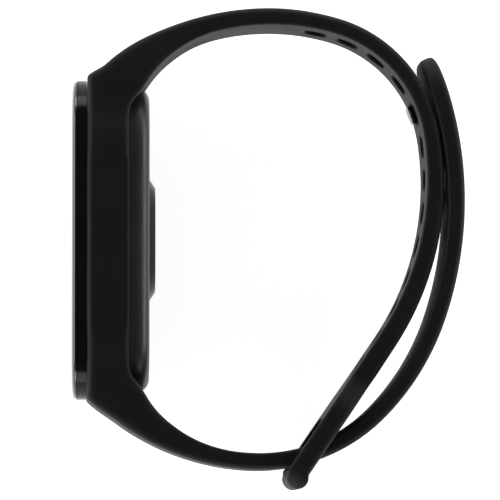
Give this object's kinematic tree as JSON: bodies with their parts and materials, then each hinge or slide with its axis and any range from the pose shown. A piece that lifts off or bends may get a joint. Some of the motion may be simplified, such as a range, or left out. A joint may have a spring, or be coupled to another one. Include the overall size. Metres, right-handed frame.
{
  "type": "fitness tracker band",
  "caption": "Wrist band of soft silicone with a slotted arm, peg tail and keeper loop, holding a slim removable activity sensor capsule in a ring frame.",
  "frame": {"origin": "middle of the lower face of the bounding box, under the opening for the wrist", "axes": "+Z across the width of the strap, -X out through the cover glass, +Y along the long axis of the capsule towards the slotted arm"},
  "size_m": [0.0584, 0.0714, 0.0206],
  "materials": {
    "silicone": "soft matt moulded silicone",
    "peg_metal": "dark satin metal",
    "cover_glass": "polished, black printed border",
    "bezel": "polished black",
    "seal": "soft elastomer",
    "housing": "fine satin texture",
    "sensor_window": "polished dark window",
    "adhesive": "double-sided tape",
    "display": "display stack",
    "foam": "closed-cell foam",
    "flex": "amber polyimide",
    "connector": "moulded nylon",
    "midframe": "glass-filled nylon",
    "board": "solder mask",
    "chip": "epoxy package",
    "shield_steel": "drawn sheet",
    "contact_gold": "gold plated",
    "battery_foil": "laminated pouch foil",
    "led": "clear encapsulation",
    "photodiode": "filtered epoxy",
    "magnet": "nickel plated",
    "copper": "enamelled winding",
    "tungsten": "sintered heavy alloy"
  },
  "bodies": {
    "strap": {"strap_frame": "silicone", "holes_arm": "silicone", "keeper_loop": "silicone", "lower_arm": "silicone"},
    "tail": {"strap_tail": "silicone", "peg": "peg_metal"},
    "capsule": {"cover_glass": "cover_glass", "front_bezel": "bezel", "housing_seal": "seal", "rear_housing": "housing", "sensor_window": "sensor_window", "display_adhesive": "adhesive", "display_panel": "display", "display_foam": "foam", "display_flex": "flex", "display_connector": "connector", "midframe": "midframe", "main_board": "board", "system_chip": "chip", "memory_chip": "chip", "rf_shield": "shield_steel", "motion_sensor": "chip", "clock_crystal": "shield_steel", "antenna": "contact_gold", "battery_adhesive": "adhesive", "battery_cell": "battery_foil", "battery_board": "board", "sensor_pad": "foam", "sensor_board": "board", "green_leds": "led", "photodiode": "photodiode", "light_barrier": "connector", "charge_pins": "contact_gold", "pin_seals": "seal", "charge_flex": "flex", "charge_magnets": "magnet", "motor_case": "shield_steel", "motor_sleeve": "seal", "motor_magnet": "magnet"},
    "motor_rotor": {"motor_coil": "copper", "motor_shaft": "shield_steel", "motor_weight": "tungsten"}
  },
  "joints": [
    {"name": "capsule_release", "type": "slide", "parent": "strap", "child": "capsule", "axis": [-1, 0, 0], "range_m": [0, 0.014]},
    {"name": "tail_lift", "type": "hinge", "parent": "strap", "child": "tail", "pos_m": [0.02882, 0.00485, 0.0103], "axis": [0, 0, -1], "range_deg": [0, 40], "stiffness_Nm_per_rad": 0.01},
    {"name": "rotor_spin", "type": "hinge", "parent": "capsule", "child": "motor_rotor", "pos_m": [-0.02202, 0.01672, 0.0103], "axis": [0, 0, 1], "continuous": true}
  ]
}
